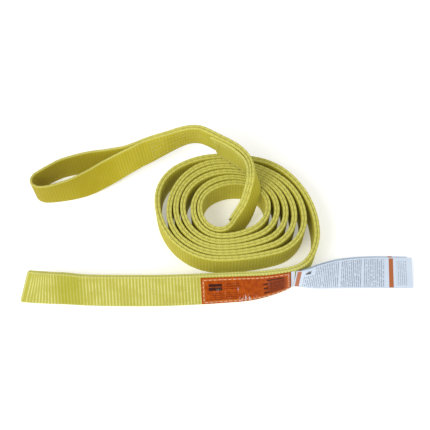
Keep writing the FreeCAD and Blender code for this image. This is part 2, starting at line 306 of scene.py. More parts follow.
def on_eye(e):
    """A place on the eye's route, drawn onto the sewn plies where it leaves and rejoins them."""
    foot, travel, width, face = eye.frame(e, PLY)
    near_share = 1 - smooth(e / JOINING)
    far_share = 1 - smooth((EYE - e) / JOINING)
    foot = foot + near_gap * near_share + far_gap * far_share
    return [THROAT + e * eye_pitch, foot, travel, width, face, NO_LEAD]


def spread(a, b, step=RIB / 6):
    """Values from a to b, the ones between on whole steps."""
    first = int(math.floor(a / step + 1e-6)) + 1
    last = int(math.ceil(b / step - 1e-6)) - 1
    return [a] + [i * step for i in range(first, last + 1)] + [b]


def outline(low, high, round_to):
    """A ply's section as (level, side, share of face): two flat faces and two round selvedges."""
    points = []
    face_levels = [low + round_to + (high - low - 2 * round_to) * i / 7 for i in range(8)]
    for level in face_levels:
        points.append((level, 1.0, 1.0))
    for i in range(1, 6):
        a = math.pi * i / 6
        points.append((high - round_to + round_to * math.sin(a), math.cos(a), 0.25))
    for level in reversed(face_levels):
        points.append((level, -1.0, 1.0))
    for i in range(1, 6):
        a = math.pi * i / 6
        points.append((low + round_to - round_to * math.sin(a), -math.cos(a), 0.25))
    return points


def rib_wave(run):
    """From -1 in the grooves to 1 on the ribs."""
    return 2 * abs(math.cos(math.pi * run / RIB)) ** 0.8 - 1


def mesh_object(name, verts, faces, smooth_shade=True):
    """A new mesh in the scene."""
    mesh = bpy.data.meshes.new(name)
    mesh.from_pydata([tuple(v) for v in verts], [], faces)
    mesh.validate()
    if smooth_shade:
        mesh.polygons.foreach_set("use_smooth", [True] * len(mesh.polygons))
    obj = bpy.data.objects.new(name, mesh)
    bpy.context.scene.collection.objects.link(obj)
    return obj


def ribbon(name, places, low=0.0, high=WEB, half=HALF, rib=RIB_HEIGHT, caps=(True, True), nose=False,
           round_to=SELVEDGE, shape=None):
    """A strip of webbing, cloth or card through the places, with what its material needs.

    shape, if given, moves a point: it takes run, level and side and returns millimetres along
    the face direction and along the width.
    """
    section = outline(low, high, round_to)
    rings = []
    if nose:
        first = places[0]
        for a in (math.radians(80), math.radians(50), math.radians(25)):
            ahead = list(first)
            ahead[1] = first[1] - first[2] * half * math.sin(a)
            ahead[0] = first[0] - half * math.sin(a)
            rings.append((ahead, math.cos(a)))
    rings += [(place, 1.0) for place in places]
    verts = []
    runs = []
    levels = []
    sides = []
    for (run, centre, travel, width, face, lead), thin in rings:
        wave = rib_wave(run) * rib
        loop = math.cos(2 * math.pi * run / (RIB / 2)) * rib * 0.5
        for level, side, faceness in section:
            out = side * (half + wave * faceness) * thin
            up = level + (loop * (1 if level > (low + high) / 2 else -1) if faceness < 1 else 0.0)
            up = max(up, low)
            if shape:
                push, lift = shape(run, level, side)
                out += push
                up += lift
            verts.append((centre + face * out + width * up + lead * (up / WEB)) * MM)
            runs.append(run)
            levels.append(level)
            sides.append(side)
    n = len(section)
    faces = []
    for i in range(len(rings) - 1):
        for k in range(n):
            j = (k + 1) % n
            faces.append((i * n + k, (i + 1) * n + k, (i + 1) * n + j, i * n + j))
    if caps[0]:
        faces.append(tuple(range(n)))
    if caps[1]:
        base = (len(rings) - 1) * n
        faces.append(tuple(base + k for k in reversed(range(n))))
    obj = mesh_object(name, verts, faces)
    mesh = obj.data
    for label, values in (("run", runs), ("level", levels), ("side", sides)):
        mesh.attributes.new(label, "FLOAT", "POINT").data.foreach_set("value", values)
    ends = set()
    if caps[0]:
        ends |= {frozenset((k, (k + 1) % n)) for k in range(n)}
    if caps[1]:
        base = (len(rings) - 1) * n
        ends |= {frozenset((base + k, base + (k + 1) % n)) for k in range(n)}
    if ends:
        sharp = [frozenset(e.vertices) in ends for e in mesh.edges]
        mesh.attributes.new("sharp_edge", "BOOLEAN", "EDGE").data.foreach_set("value", sharp)
    layer = mesh.uv_layers.new(name="UVMap")
    corner = np.zeros(len(mesh.loops), int)
    mesh.loops.foreach_get("vertex_index", corner)
    run_of = np.array(runs)[corner]
    level_of = np.array(levels)[corner]
    uv = np.stack([run_of * 0.01, level_of * 0.01 + (np.array(sides)[corner] > 0) * 0.6], 1)
    layer.data.foreach_set("uv", uv.astype(np.float32).ravel())
    return obj


def mid(place):
    """The middle of the webbing's width."""
    return place[1] + place[3] * WEB / 2


def bend_between(obj, first, last):
    """Bakes obj's placement into its mesh; the mean heading of its ends is worked out but not used."""
    ahead = first[2] + last[2]
    ahead[2] = 0
    ahead = ahead / np.linalg.norm(ahead)
    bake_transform(obj)


# ---- materials ---------------------------------------------------------------
class Nodes:
    """A small helper for building a material's node tree."""

    def __init__(self, name, **settings):
        self.material = bpy.data.materials.new(name)
        self.material.use_nodes = True
        self.tree = self.material.node_tree
        self.shader = self.tree.nodes["Principled BSDF"]
        for socket, value in settings.items():
            self.shader.inputs[socket.replace("_", " ")].default_value = value

    def link(self, source, target):
        if isinstance(source, (int, float)):
            target.default_value = source
        elif isinstance(source, tuple):
            target.default_value = (*source, 1.0)
        else:
            self.tree.links.new(source, target)

    def attribute(self, name):
        node = self.tree.nodes.new("ShaderNodeAttribute")
        node.attribute_name = name
        return node.outputs["Fac"]

    def math(self, operation, a, b=0.0, c=0.0):
        node = self.tree.nodes.new("ShaderNodeMath")
        node.operation = operation
        for i, value in enumerate((a, b, c)):
            self.link(value, node.inputs[i])
        return node.outputs[0]

    def mix(self, share, a, b):
        node = self.tree.nodes.new("ShaderNodeMix")
        node.data_type = "RGBA"
        self.link(share, node.inputs[0])
        self.link(a, node.inputs[6])
        self.link(b, node.inputs[7])
        return node.outputs[2]

    def noise(self, scale, detail=3.0, vector=None, roughness=0.5):
        node = self.tree.nodes.new("ShaderNodeTexNoise")
        node.inputs["Scale"].default_value = scale
        node.inputs["Detail"].default_value = detail
        node.inputs["Roughness"].default_value = roughness
        self.link(vector or self.position(), node.inputs["Vector"])
        return node.outputs["Fac"]

    def position(self):
        node = self.tree.nodes.new("ShaderNodeTexCoord")
        return node.outputs["Object"]

    def east(self):
        """Distance along +X from the model's origin, in metres."""
        node = self.tree.nodes.new("ShaderNodeSeparateXYZ")
        self.link(self.position(), node.inputs[0])
        return node.outputs[0]

    def vector(self, x, y, z=0.0):
        node = self.tree.nodes.new("ShaderNodeCombineXYZ")
        for i, value in enumerate((x, y, z)):
            self.link(value, node.inputs[i])
        return node.outputs[0]

    def stretched(self, x, x_scale, y, y_scale, z=0.0):
        """Two values, each with its own scale, as a texture's place."""
        return self.vector(self.math("MULTIPLY", x, x_scale), self.math("MULTIPLY", y, y_scale), z)

    def box(self, along, first, last, soft_along, across, low, high, soft_across):
        """About 1 inside a rectangle on the cloth, with soft edges."""
        return self.math("MULTIPLY", self.between(along, first, last, soft_along),
                         self.between(across, low, high, soft_across))

    def wave(self, value, pitch, power=1.0):
        """From 0 in the gaps to 1 on the crests of a pattern that repeats every pitch."""
        turned = self.math("MULTIPLY", value, math.pi / pitch)
        crest = self.math("ABSOLUTE", self.math("COSINE", turned))
        return self.math("POWER", crest, power)

    def between(self, value, low, high, soft=0.15):
        """About 1 where value lies between low and high, with soft edges."""
        rise = self.tree.nodes.new("ShaderNodeMapRange")
        fall = self.tree.nodes.new("ShaderNodeMapRange")
        for node, near, far in ((rise, low - soft, low + soft), (fall, high + soft, high - soft)):
            node.interpolation_type = "SMOOTHSTEP"
            self.link(value, node.inputs["Value"])
            node.inputs["From Min"].default_value = near
            node.inputs["From Max"].default_value = far
        return self.math("MULTIPLY", rise.outputs[0], fall.outputs[0])

    def bump(self, height, distance, strength=1.0, normal=None):
        node = self.tree.nodes.new("ShaderNodeBump")
        node.inputs["Distance"].default_value = distance
        node.inputs["Strength"].default_value = strength
        self.link(height, node.inputs["Height"])
        if normal is not None:
            self.link(normal, node.inputs["Normal"])
        return node.outputs[0]

    def finish(self, color=None, roughness=None, normal=None, alpha=None):
        inputs = {"Base Color": color, "Roughness": roughness, "Normal": normal, "Alpha": alpha}
        for socket, value in inputs.items():
            if value is not None:
                self.link(value, self.shader.inputs[socket])
        return self.material


def webbing_material(name, dull, bright, crest, ribs, wear, pinhole_shade, painted_shade_zones=()):
    """Woven webbing; ribs is how strongly the pale lines on its crosswise crests show, and wear how
    patchily.
    The crest colour is partly the ribs' own tone and partly a painted highlight on their crowns.

    The value after wear is how dark the painted shade in the pinholes between two plies' edges is. Each
    zone in the last argument is painted shade, given as first and last metres along +X, softness, share
    and color.
    """
    n = Nodes(name, Sheen_Weight=0.04, Sheen_Roughness=0.5, Specular_IOR_Level=0.16)
    run = n.attribute("run")
    level = n.attribute("level")
    side = n.attribute("side")
    rib = n.wave(run, RIB, 0.8)
    crown = n.wave(run, RIB, 5.0)
    parity = n.math("FLOORED_MODULO", n.math("ROUND", n.math("DIVIDE", run, RIB)), 2.0)
    across = n.math("ADD", level, n.math("MULTIPLY", parity, 0.65))
    warp = n.wave(across, 1.3, 0.7)
    fibre = n.noise(1.0, 2.0, n.stretched(run, 0.9, level, 5.0))
    height = n.math("ADD", n.math("MULTIPLY", rib, n.math("ADD", n.math("MULTIPLY", warp, 0.45), 0.55)),
                    n.math("MULTIPLY", fibre, 0.25))
    edge = n.math("SUBTRACT", 1.0, n.between(level, 1.9, WEB - 1.9, 0.5))
    loops = n.wave(n.math("ADD", run, n.math("MULTIPLY", side, 0.7)), RIB / 2, 0.6)
    middle = n.between(side, -0.40, 0.40, 0.25)
    pore = n.math("MULTIPLY", n.math("MULTIPLY", edge, middle),
                  n.between(n.math("FLOORED_MODULO", run, 2 * RIB), 4.3, 5.3, 0.35))
    wide = n.noise(14, 2.0)
    patch = n.noise(55, 2.0)
    small = n.noise(160, 3.0)
    color = n.mix(wide, dull, bright)
    worn = n.between(patch, 0.46, 2.0, 0.10)
    shown = n.math("ADD", ribs * (1 - wear), n.math("MULTIPLY", worn, ribs * wear))
    # Pale lines on the rib crowns: partly the ribs' own tone, partly a painted highlight.
    line = n.math("MULTIPLY", crown, shown)
    color = n.mix(line, color, crest)
    color = n.mix(n.math("MULTIPLY", warp, 0.10), color, (0.66, 0.63, 0.10))
    color = n.mix(n.math("MULTIPLY", small, 0.25), color, (0.52, 0.42, 0.015))
    # Zones of painted shade along +X.
    for first, last, soft, share, painted_shade_color in painted_shade_zones:
        color = n.mix(n.math("MULTIPLY", n.between(n.east(), first, last, soft), share), color, painted_shade_color)
    # Pale weft loops along both selvedges, made paler to stand in for light: partly the loops' own
    # colour, partly painted light.
    color = n.mix(n.math("MULTIPLY", edge, n.math("MULTIPLY", loops, 0.6)), color, (0.74, 0.73, 0.24))
    # Painted shade in the pinholes between the plies' edges.
    color = n.mix(n.math("MULTIPLY", pore, pinhole_shade), color, (0.16, 0.13, 0.015))
    normal = n.bump(height, 0.0004, 0.7)
    normal = n.bump(n.math("SUBTRACT", n.math("MULTIPLY", edge, loops), pore), 0.0005, 0.6, normal)
    rough = n.math("SUBTRACT", 0.74, n.math("MULTIPLY", crown, 0.16))
    return n.finish(color, rough, normal)


def thread_material(name, color, dark):
    """Twisted sewing thread."""
    n = Nodes(name, Sheen_Weight=0.3, Specular_IOR_Level=0.4)
    twist = n.noise(2600, 2.0)
    shade = n.mix(twist, color, dark)
    return n.finish(shade, 0.55, n.bump(twist, 0.0002, 0.6))


def rows_of_words(n, along, across, first, last, low, high, pitch, seed):
    """Greeked text: rows broken into word-long dashes, inside a rectangle."""
    row = n.math("FLOOR", n.math("DIVIDE", across, pitch))
    inside = n.box(along, first, last, 0.3, across, low, high, 0.2)
    bar = n.between(n.math("FLOORED_MODULO", across, pitch), pitch * 0.22, pitch * 0.70, pitch * 0.1)
    words = n.noise(1.0, 1.0, n.stretched(along, 0.42, row, 7.31, seed))
    letters = n.noise(1.0, 1.0, n.stretched(along, 1.7, row, 3.77, seed))
    word = n.between(words, 0.38, 2.0, 0.03)
    ink = n.math("ADD", 0.45, n.math("MULTIPLY", n.between(letters, 0.45, 2.0, 0.1), 0.55))
    return n.math("MULTIPLY", n.math("MULTIPLY", inside, bar), n.math("MULTIPLY", word, ink))


def label_material():
    """Coated cloth with a hem, a dark block and rows of dashes for print; millimetres along and up."""
    n = Nodes("label_cloth", Specular_IOR_Level=0.06)
    along = n.math("SUBTRACT", n.attribute("run"), LABEL_START)
    up = n.attribute("level")
    wide = n.noise(30, 3.0)
    weave = n.math("MULTIPLY", n.wave(along, 0.9, 0.8), n.wave(up, 0.9, 0.8))
    color = n.mix(wide, (0.35, 0.050, 0.001), (0.48, 0.088, 0.003))
    color = n.mix(n.math("MULTIPLY", weave, 0.07), color, (0.75, 0.26, 0.06))
    # Painted shade in the label's creases.
    fold = n.between(n.noise(1.0, 3.0, n.stretched(along, 0.16, up, 0.11, 5.0)), 0.50, 2.0, 0.06)
    color = n.mix(n.math("MULTIPLY", fold, 0.45), color, (0.26, 0.030, 0.001))
    dark = (0.028, 0.010, 0.008)
    brown = (0.13, 0.018, 0.004)
    block = n.box(along, 11, 31, 0.4, up, 24.5, 36.5, 0.4)
    slit = n.between(up, 30.2, 31.4, 0.3)
    block = n.math("MULTIPLY", block, n.math("SUBTRACT", 1.0, n.math("MULTIPLY", slit, 0.8)))
    color = n.mix(n.math("MULTIPLY", block, 0.93), color, dark)
    for first, last, low, high, pitch, seed, ink in (
        (34, 58, 24, 37, 4.2, 1.0, 0.75),
        (12, 52, 8, 21, 3.6, 2.0, 0.7),
        (97, 124, 9, 33, 4.6, 4.0, 0.85),
    ):
        words = rows_of_words(n, along, up, first, last, low, high, pitch, seed)
        color = n.mix(n.math("MULTIPLY", words, ink), color, brown)
    shade = n.box(along, 101, 126, 1.2, up, 8, 34, 1.2)
    color = n.mix(n.math("MULTIPLY", shade, 0.62), color, brown)
    strip = n.box(along, 99, 125, 0.6, up, 35.0, 38.6, 0.4)
    color = n.mix(n.math("MULTIPLY", strip, 0.85), color, dark)
    for low in (9.5, 18.5, 27.5):
        bar = n.box(along, 93, 100, 0.4, up, low, low + 3.6, 0.4)
        color = n.mix(n.math("MULTIPLY", bar, 0.9), color, dark)
    hem = n.box(along, 2.0, LABEL_LENGTH - 2.0, 0.4, up, LABEL_LOW + 2.0, LABEL_HIGH - 2.0, 0.4)
    inner = n.box(along, 5.4, LABEL_LENGTH - 5.4, 0.5, up, LABEL_LOW + 5.4, LABEL_HIGH - 5.4, 0.5)
    color = n.mix(n.math("MULTIPLY", n.math("SUBTRACT", hem, inner), 0.35), color, (0.80, 0.30, 0.06))
    pucker = n.noise(45, 2.0)
    normal = n.bump(pucker, 0.0012, 0.5)
    normal = n.bump(weave, 0.0002, 0.4, normal)
    return n.finish(color, n.math("ADD", 0.36, n.math("MULTIPLY", wide, 0.15)), normal)


def film_material():
    """Clear film that is seen only where it is whitish: a little haze on its creases, and painted glints
    in a band partway along it.
    """
    n = Nodes("clear_film", Specular_IOR_Level=1.0, Coat_Weight=1.0, Coat_Roughness=0.05)
    along = n.attribute("run")
    up = n.attribute("level")
    crumple = n.noise(1.0, 2.0, n.stretched(along, 0.055, up, 0.035))
    crease = n.noise(1.0, 3.0, n.stretched(along, 0.42, up, 0.06, 3.0))
    haze_and_glint = n.between(n.math("ADD", n.math("MULTIPLY", crumple, 0.45), n.math("MULTIPLY", crease, 0.55)),
                     0.62, 2.0, 0.05)
    # A band of painted glints over the film's creases.
    glint_band = n.math("MULTIPLY", n.between(along, LABEL_START + 55, LABEL_START + 90, 8), 0.75)
    haze_and_glint = n.math("MULTIPLY", haze_and_glint, n.math("ADD", 0.15, glint_band))
    alpha = n.math("MULTIPLY", haze_and_glint, 0.42)
    normal = n.bump(n.math("ADD", crumple, n.math("MULTIPLY", crease, 0.5)), 0.003, 0.9)
    return n.finish((0.93, 0.86, 0.80), 0.16, normal, alpha)


def leaf_material(name, printed):
    """Tag stock; bands and blocks are from and to along the leaf, marks also from and to across it."""
    n = Nodes(name, Specular_IOR_Level=0.5, Coat_Weight=0.12, Coat_Roughness=0.3)
    along = n.attribute("run")
    up = n.attribute("level")
    mottle = n.noise(60, 3.0)
    color = n.mix(mottle, (0.58, 0.67, 0.79), (0.65, 0.74, 0.85))
    grey = (0.10, 0.12, 0.17)
    orange = (0.42, 0.105, 0.014)
    for first, last in printed["bands"]:
        band = n.box(along, first, last, 0.35, up, 1.0, printed["edge"], 0.3)
        color = n.mix(band, color, orange)
    for first, last, low, high, seed, ink in printed["blocks"]:
        words = rows_of_words(n, up, along, low, high, first, last, 2.9, seed)
        color = n.mix(n.math("MULTIPLY", words, ink), color, grey)
    for first, last, low, high in printed["marks"]:
        mark = n.box(along, first, last, 1.2, up, low, high, 1.2)
        rough_ink = n.between(n.noise(300, 2.0), 0.44, 2.0, 0.06)
        color = n.mix(n.math("MULTIPLY", mark, rough_ink), color, (0.02, 0.02, 0.03))
    rough = n.math("ADD", 0.40, n.math("MULTIPLY", mottle, 0.12))
    return n.finish(color, rough, n.bump(mottle, 0.0004, 0.25))


# ---- the webbing -----------------------------------------------------------------
webbing = webbing_material("woven_webbing", (0.46, 0.39, 0.008), (0.58, 0.535, 0.035),
                           (0.74, 0.71, 0.15), 0.40, 0.6, 0.7)
# A paler, lit copy of the webbing for the flat strap: its dull, bright and crest colours are painted
# light. Its one zone is painted shade over the flat eye's dent.
flat_webbing_painted_light = webbing_material("flat_webbing_painted_light", (0.38, 0.36, 0.040), (0.48, 0.47, 0.085),
                                (0.78, 0.78, 0.34), 0.78, 0.5, 0.1,
                                [(-0.236, -0.196, 0.010, 0.65, (0.38, 0.365, 0.02))])
# Worn webbing for the free end and the open eye; its one zone is painted shade over the open eye.
worn_webbing_painted_shade = webbing_material("worn_webbing_painted_shade", (0.48, 0.40, 0.010), (0.58, 0.51, 0.032),
                                (0.74, 0.69, 0.15), 0.42, 0.85, 0.4,
                                [(-1.0, -0.155, 0.055, 0.7, (0.37, 0.29, 0.004))])
splice_webbing = webbing_material("splice_webbing", (0.47, 0.43, 0.030), (0.60, 0.57, 0.085),
                                  (0.78, 0.76, 0.26), 0.25, 0.6, 0.3)
LABEL_END = STEP * round((TAIL_HINGE - 34.0) / STEP)
LABEL_START = LABEL_END - LABEL_LENGTH


def strap(name, places, body, nodes, rests_on=(), held="laid", look=webbing, **options):
    """A length of webbing that rides on one body and stands for its CAD nodes."""
    obj = ribbon(name, places, **options)
    obj.data.materials.append(look)
    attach(obj, body)
    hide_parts(*nodes)
    return obj


def bridge(name, places, a, b, look=webbing, **options):
    """A short length of webbing, open at both ends, between one body's piece and the next; it is not
    attached to either body.
    """
    obj = ribbon(name, places, caps=(False, False), **options)
    obj.data.materials.append(look)
    bend_between(obj, places[0], places[-1])
    return obj


def flat_dent(run, level, side):
    """The flat eye's legs are pressed back a little where they were once folded."""
    depth = 2.2 * math.exp(-((abs(run) - 74) / 17) ** 2) * (0.35 + 0.65 * level / WEB)
    return (-depth if run < 0 else depth), 0.0


def main_places(s0, s1, side, step=RIB / 6):
    return [on_main(s, side) for s in spread(s0, s1, step)]


def eye_places(e0, e1, step=RIB / 6):
    runs = spread(THROAT + e0 * eye_pitch, THROAT + e1 * eye_pitch, step)
    return [on_eye((run - THROAT) / eye_pitch) for run in runs]


def eye_groove(e):
    return (groove(THROAT + e * eye_pitch) - THROAT) / eye_pitch


tail_cut = (groove(TAIL_HINGE - BEND), groove(TAIL_HINGE + BEND))
end_cut = (groove(END_HINGE - BEND), groove(END_HINGE + BEND))
flat_cut = (groove(FLAT_THROAT - BEND), groove(FLAT_THROAT + BEND))
near_mid_cut = (groove(FLAT_MID - BEND), groove(FLAT_MID + BEND))
far_mid_cut = (groove(FLAT_FAR_MID - BEND), groove(FLAT_FAR_MID + BEND))
throat_cut = groove(THROAT - BEND)

strap("coil_outer", main_places(tail_cut[1], end_cut[0], RIGHT_PLY), "coil", ["coil_outer_ply"],
      rests_on=["floor"])
strap("coil_inner", main_places(tail_cut[1], end_cut[0], LEFT_PLY), "coil", ["coil_inner_ply"],
      rests_on=["floor"])
for side, name in ((RIGHT_PLY, "outer"), (LEFT_PLY, "inner")):
    bridge("tail_bend_" + name, main_places(*tail_cut, side), "label_strap", "coil")
    bridge("free_end_bend_" + name, main_places(*end_cut, side), "coil", "free_end")
strap("free_end_far", main_places(end_cut[1], throat_cut, RIGHT_PLY), "free_end", ["free_end_far_ply"],
      held="hung", rests_on=["coil_outer"], look=worn_webbing_painted_shade, rib=SOFT_RIB)
strap("free_end_near", main_places(end_cut[1], throat_cut, LEFT_PLY), "free_end", ["free_end_near_ply"],
      held="hung", rests_on=["coil_outer"], look=worn_webbing_painted_shade, rib=SOFT_RIB)
strap("label_strap_outer", main_places(flat_cut[1], tail_cut[0], RIGHT_PLY), "label_strap",
      ["tail_outer_ply"], rests_on=["floor"], look=flat_webbing_painted_light)
strap("label_strap_inner", main_places(far_mid_cut[1], tail_cut[0], LEFT_PLY), "label_strap",
      ["tail_inner_ply", "flat_eye_far_root"], rests_on=["floor"], look=flat_webbing_painted_light)

# ---- the flat eye ------------------------------------------------------------------
bridge("flat_throat_bend", main_places(*flat_cut, RIGHT_PLY), "flat_near_root", "label_strap",
       flat_webbing_painted_light)
bridge("flat_near_bend", main_places(*near_mid_cut, RIGHT_PLY), "flat_tip", "flat_near_root",
       flat_webbing_painted_light, shape=flat_dent)
bridge("flat_far_bend", main_places(*far_mid_cut, LEFT_PLY), "flat_far_tip", "label_strap", flat_webbing_painted_light,
       shape=flat_dent)
strap("flat_eye_near_leg", main_places(near_mid_cut[1], flat_cut[0], RIGHT_PLY), "flat_near_root",
      ["flat_eye_near_root"], rests_on=["floor"], look=flat_webbing_painted_light, shape=flat_dent)
strap("flat_eye_far_leg", main_places(FAR_TIP, far_mid_cut[0], LEFT_PLY), "flat_far_tip",
      ["flat_eye_far_tip"], rests_on=["floor"], nose=True, look=flat_webbing_painted_light, shape=flat_dent)


def fold_places():
    """Along the near leg to the tip, round the fold, and back to the far leg."""
    places = [turned(p) for p in reversed(main_places(FOLD_ROOM, near_mid_cut[0], RIGHT_PLY))]
    foot, travel, width, face = main.frame(FOLD_ROOM, PAIR + EYE_AIR)
    middle = foot - travel * (FOLD_ROOM - FOLD_RADIUS - PLY / 2)
    lead = travel * tip_skew(FOLD_ROOM)
    for i in range(13):
        angle = math.pi * i / 12
        out = -face * math.cos(angle) - travel * math.sin(angle)
        along = face * math.sin(angle) - travel * math.cos(angle)
        run = FOLD_ROOM * ((i + 1) / 7 - 1)
        places.append([run, middle + out * FOLD_RADIUS, along, width, out, lead])
    return places + [on_main(FAR_TIP, LEFT_PLY)]


strap("flat_eye_fold_web", fold_places(), "flat_tip", ["flat_eye_near_tip", "flat_eye_fold"],
      rests_on=["floor"], held="folded", look=flat_webbing_painted_light, shape=flat_dent)

# ---- the open eye ------------------------------------------------------------------
root_cut = (eye_groove(BEND), eye_groove(EYE - BEND))
leg_cut = (eye_groove(EYE_NEAR_MID - BEND), eye_groove(EYE_NEAR_MID + BEND))
bow_cut = (eye_groove(EYE_BOW_START - BEND), eye_groove(EYE_BOW_START + BEND))
back_cut = (eye_groove(EYE_FAR_MID - BEND), eye_groove(EYE_FAR_MID + BEND))
near_throat = main_places(throat_cut, THROAT, LEFT_PLY)[:-1] + eye_places(0.0, root_cut[0])
far_throat = eye_places(root_cut[1], EYE)[:-1]
for place in reversed(main_places(throat_cut, THROAT, RIGHT_PLY)):
    back = turned(place)
    back[0] += WHOLE
    far_throat.append(back)
bridge("throat_near", near_throat, "free_end", "eye_near_root", worn_webbing_painted_shade)
bridge("throat_far", far_throat, "eye_far_root", "free_end", worn_webbing_painted_shade)
strap("eye_near_leg", eye_places(root_cut[0], leg_cut[0]), "eye_near_root", ["eye_near_root"],
      held="hung", look=worn_webbing_painted_shade, rib=WORN_RIB)
bridge("eye_near_mid", eye_places(*leg_cut), "eye_near_root", "eye_near_tip", worn_webbing_painted_shade)
strap("eye_near_end", eye_places(leg_cut[1], bow_cut[0]), "eye_near_tip", ["eye_near_tip"],
      rests_on=["floor"], look=worn_webbing_painted_shade, rib=WORN_RIB)
bridge("eye_bow_bend", eye_places(*bow_cut), "eye_near_tip", "eye_bow", worn_webbing_painted_shade)
strap("eye_bow_web", eye_places(bow_cut[1], EYE_BOW_END), "eye_bow", ["eye_tip_bow"],
      rests_on=["floor"], look=worn_webbing_painted_shade, rib=WORN_RIB)
strap("eye_far_end", eye_places(EYE_BOW_END, back_cut[0]), "eye_far_tip", ["eye_far_tip"],
      rests_on=["floor"], nose=True, look=worn_webbing_painted_shade, rib=WORN_RIB)
bridge("eye_far_mid", eye_places(*back_cut), "eye_far_tip", "eye_far_root", worn_webbing_painted_shade)
strap("eye_far_leg", eye_places(back_cut[1], root_cut[1]), "eye_far_root", ["eye_far_root"], held="hung",
      look=worn_webbing_painted_shade, rib=WORN_RIB)

# ---- the splice's overlap ply ---------------------------------------------------------
OVERLAP_START = STEP * round((COIL_END + 20.0) / STEP)
OVERLAP_END = END_HINGE - 16.0
OVERLAP_SIDE = 1.5 * PLY + FILM * 1.5
SLANT = 13.0          # the cut end leans this far, its top edge further along
DROP = 5.0            # and hangs this much lower than the plies under it


def overlap_place(s, out=0.0):
    place = on_main(s, OVERLAP_SIDE + out)
    ending = smooth((s - OVERLAP_END + 70) / 70)
    place[1] = place[1] - place[3] * (DROP * ending)
    place[5] = place[2] * (SLANT * ending)
    return place


strap("splice_overlap", [overlap_place(s) for s in spread(OVERLAP_START, OVERLAP_END)], "coil",
      ["splice_overlap_ply"], rests_on=["coil_inner"], look=splice_webbing, rib=SOFT_RIB)


# ---- sewing --------------------------------------------------------------------------
def ring(middle, across, up, around):
    """Points round middle on two half-axes, in metres."""
    angles = [2 * math.pi * k / around for k in range(around)]
    return [(middle + across * math.cos(a) + up * math.sin(a)) * MM for a in angles]


def tube_faces(base, rings, around):
    """The side faces of a tube whose rings of points start at index base."""
    faces = []
    for i in range(rings - 1):
        a = base + i * around
        for k in range(around):
            j = (k + 1) % around
            faces.append((a + k, a + around + k, a + around + j, a + j))
    return faces


STITCH_RINGS = (0.0, 0.08, 0.3, 0.5, 0.7, 0.92, 1.0)     # shares of a stitch's length


def thread_bars(name, body, bars, material, nodes, radius=0.42):
    """Short arched stitches in one piece; each bar is (first end, last end, outward direction)."""
    verts = []
    faces = []
    around = 6
    for first, last, out in bars:
        along = last - first
        length = np.linalg.norm(along)
        along = along / length
        beside = np.cross(along, out)
        base = len(verts)
        for share in STITCH_RINGS:
            arch = math.sin(math.pi * share)
            thick = radius * (0.35 + 0.65 * min(1.0, arch * 2.2))
            middle = first + along * (length * share) + out * (radius * (1.1 * arch - 0.5))
            verts += ring(middle, beside * (thick * 1.15), out * thick, around)
        faces += tube_faces(base, len(STITCH_RINGS), around)
        faces.append(tuple(base + k for k in range(around)))
        end = len(verts) - around
        faces.append(tuple(end + k for k in reversed(range(around))))
    obj = mesh_object(name, verts, faces)
    obj.data.materials.append(material)
    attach(obj, body)
    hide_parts(*nodes)
    return obj


def row(place_at, s0, s1, level, out_sign, pitch=6.0, length=4.0):
    """Stitches along the strap on one face; place_at gives the face's surface."""
    bars = []
    count = int((s1 - s0) / pitch)
    for i in range(count):
        s = s0 + (i + 0.5) * (s1 - s0) / count
        ends = []
        for at in (s - length / 2, s + length / 2):
            place = place_at(at)
            height = level + random.uniform(-0.12, 0.12)
            ends.append(place[1] + place[3] * height + place[5] * (level / WEB))
        bars.append((ends[0], ends[1], place[4] * out_sign))
    return bars


def column(place_at, s, low, high, out_sign, pitch=6.0, length=4.0):
    """Stitches across the strap on one face."""
    bars = []
    count = int((high - low) / pitch)
    for i in range(count):
        level = low + (i + 0.5) * (high - low) / count
        place = place_at(s)
        ends = [place[1] + place[3] * v + place[5] * (v / WEB)
                for v in (level - length / 2, level + length / 2)]
        bars.append((ends[0], ends[1], place[4] * out_sign))
    return bars


thread = thread_material("yellow_thread", (0.70, 0.66, 0.22), (0.52, 0.46, 0.10))
label_thread = thread_material("label_thread", (0.90, 0.62, 0.46), (0.78, 0.40, 0.24))
skin = HALF + RIB_HEIGHT * 0.5

bars = []
for level in (5.5, 9.0, WEB - 9.0, WEB - 5.5):
    bars += row(lambda s: overlap_place(s, skin), OVERLAP_START + 6, OVERLAP_END - 4, level, 1, 5.2, 3.4)
bars += column(lambda s: overlap_place(s, skin), OVERLAP_END - 5, 8, WEB - 8, 1)
thread_bars("splice_sewing", "coil", bars, thread, ["splice_stitching"])

bars = []
for side, sign in ((LEFT_PLY + skin, 1), (RIGHT_PLY - skin, -1)):
    for level in (9.0, WEB - 27.0, WEB - 18.0, WEB - 9.0):
        bars += row(lambda s: on_main(s, side), end_cut[1] + 2, throat_cut - 2, level, sign, 5.2, 3.6)
    for s in (throat_cut - 2.0, throat_cut - 6.0):
        bars += column(lambda s: on_main(s, side), s, 6, WEB - 6, sign, 5.0, 3.6)
thread_bars("free_end_sewing", "free_end", bars, thread, ["free_end_stitching"])

bars = []
for side, sign in ((LEFT_PLY + skin, 1), (RIGHT_PLY - skin, -1)):
    for level in (6.0, WEB / 2, WEB - 6.0):
        bars += row(lambda s: on_main(s, side), flat_cut[1] + 4, LABEL_START - 4, level, sign, 5.2, 3.4)
    for s in (flat_cut[1] + 1.5, flat_cut[1] + 5.5):
        bars += column(lambda s: on_main(s, side), s, 6, WEB - 6, sign, 5.0, 3.6)
thread_bars("flat_eye_sewing", "label_strap", bars, thread, ["flat_eye_stitching"])

# ---- label, clear film and tag ---------------------------------------------------------
LABEL_SIDE = -4.75    # middles of the label, its film and the tag's tab, off the route
FILM_SIDE = -5.55
TAB_SIDE = -4.85
LABEL_SEAM = 3.4      # the label's sewing, inside its edge
LEAF_ROOT = 9.0       # the stretch beside the seam that bends as a leaf turns


